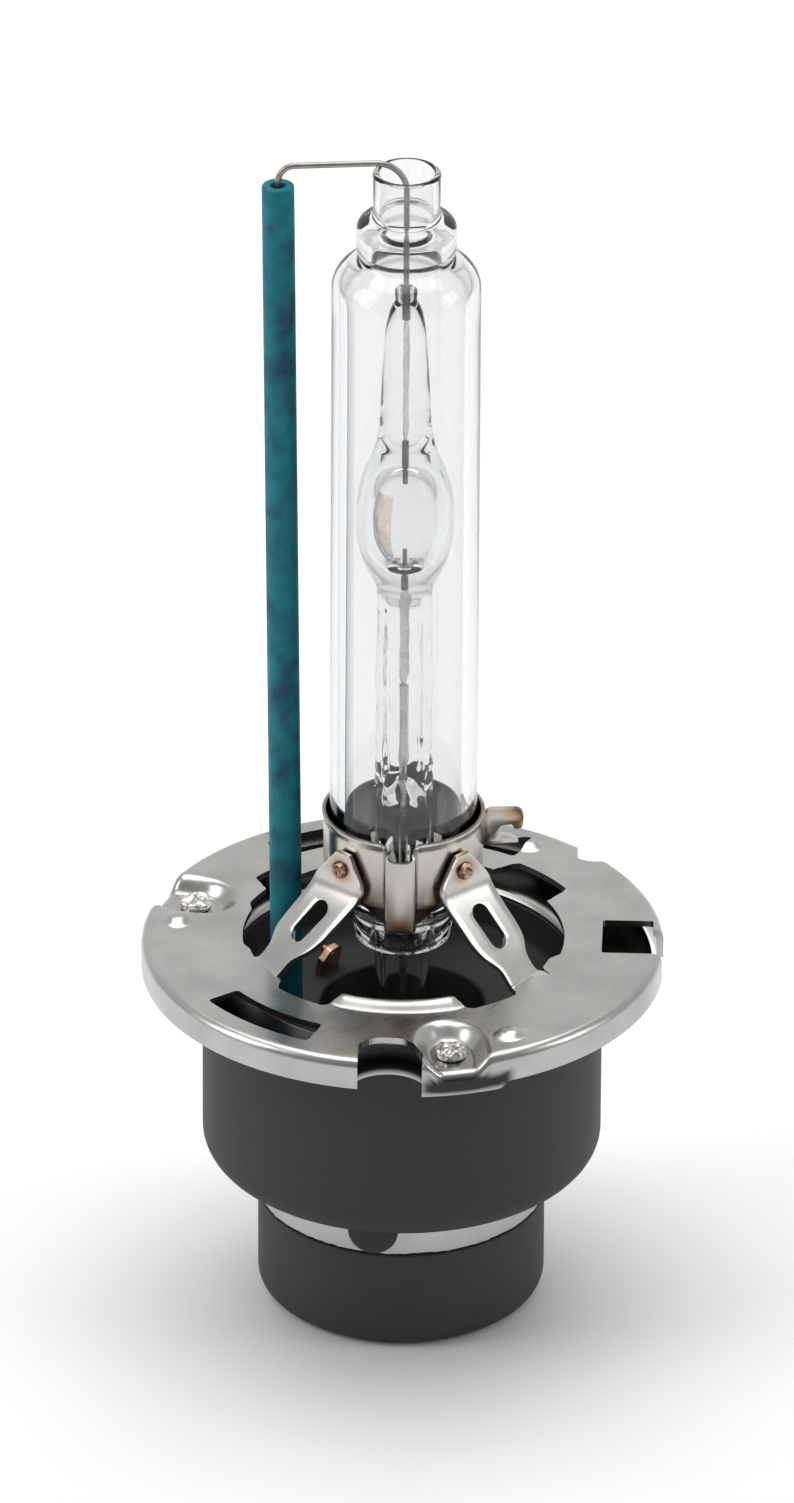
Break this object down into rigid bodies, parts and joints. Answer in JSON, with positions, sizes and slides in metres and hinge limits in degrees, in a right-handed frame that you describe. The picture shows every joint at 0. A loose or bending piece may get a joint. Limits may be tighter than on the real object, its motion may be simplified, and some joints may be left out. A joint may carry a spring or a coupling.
{
  "type": "headlight bulb",
  "caption": "Gas-discharge headlight bulb: glass envelope held by a claw flange on a black round base, with a return wire in a ceramic tube at its side.",
  "frame": {"origin": "on the bulb's axis, at the connector's end face", "axes": "+Z along the bulb's axis from the connector to the glass tip, +X towards the collar's welded ears, so the return wire's ceramic tube is on the -X side"},
  "size_m": [0.0319, 0.0319, 0.077],
  "materials": {
    "black_plastic": "fine satin moulding",
    "stainless": "stamped sheet, satin, with bright edges",
    "contact_steel": "satin",
    "contact_brass": "bright",
    "outer_glass": "clear, polished",
    "quartz": "clear, fire polished",
    "tungsten": "dark metal",
    "molybdenum": "bright foil",
    "nickel_wire": "drawn wire",
    "teal_ceramic": "matte, faintly mottled",
    "weld_metal": "heat-tinted bronze",
    "copper": "bright copper"
  },
  "bodies": {
    "root": {"base_cup": "black_plastic", "connector_barrel": "black_plastic", "contact_insulator": "black_plastic", "contact_band": "contact_steel", "center_contact": "contact_brass", "return_terminal": "copper", "carrier_ring": "stainless", "mounting_flange": "stainless", "flange_rivet_1": "contact_steel", "flange_rivet_2": "contact_steel", "flange_rivet_3": "contact_steel", "leg_weld_1": "weld_metal", "leg_weld_2": "weld_metal", "leg_weld_3": "weld_metal", "burner_collar": "stainless", "outer_glass": "outer_glass", "arc_tube": "quartz", "lower_electrode": "tungsten", "upper_electrode": "tungsten", "lower_foil": "molybdenum", "upper_foil": "molybdenum", "lower_lead": "nickel_wire", "upper_lead": "nickel_wire", "return_wire": "nickel_wire", "ceramic_tube": "teal_ceramic", "stem_clip": "copper"}
  },
  "joints": []
}
